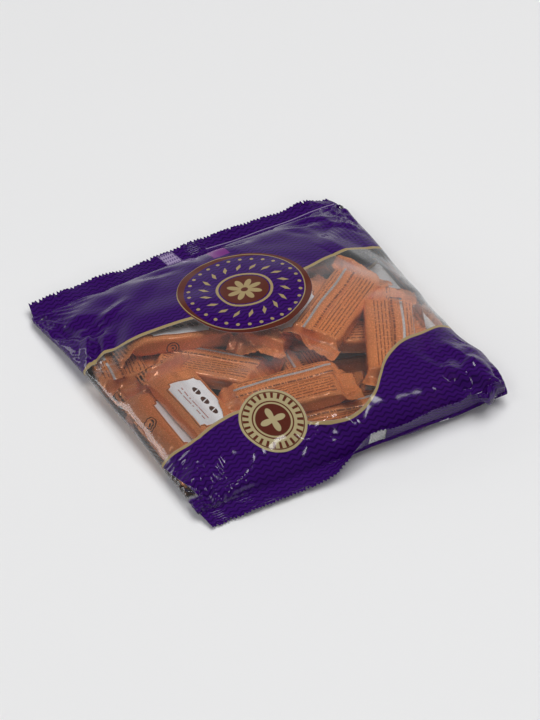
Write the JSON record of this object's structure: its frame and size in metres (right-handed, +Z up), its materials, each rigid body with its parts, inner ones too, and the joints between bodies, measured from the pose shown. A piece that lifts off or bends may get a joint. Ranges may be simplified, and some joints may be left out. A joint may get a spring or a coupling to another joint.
{
  "type": "clear pillow bag of wrapped chocolate sweets",
  "caption": "Clear pillow bag with printed purple ends, full of orange-wrapped chocolate sweets, lying on its back.",
  "frame": {"origin": "under the middle of the bag's outline, on the surface it lies on", "axes": "+Z up through the printed front, +Y towards the flat far seal, +X along the seals to the right"},
  "size_m": [0.2042, 0.2044, 0.0335],
  "materials": {
    "film": "thin glossy clear film, reverse printed in purple with gold-edged waves, clear in the middle",
    "wrapper": "pearly orange-brown sweet wrapper with a pale label and crimped ends"
  },
  "bodies": {
    "root": {"bag": "film"}
  },
  "joints": []
}
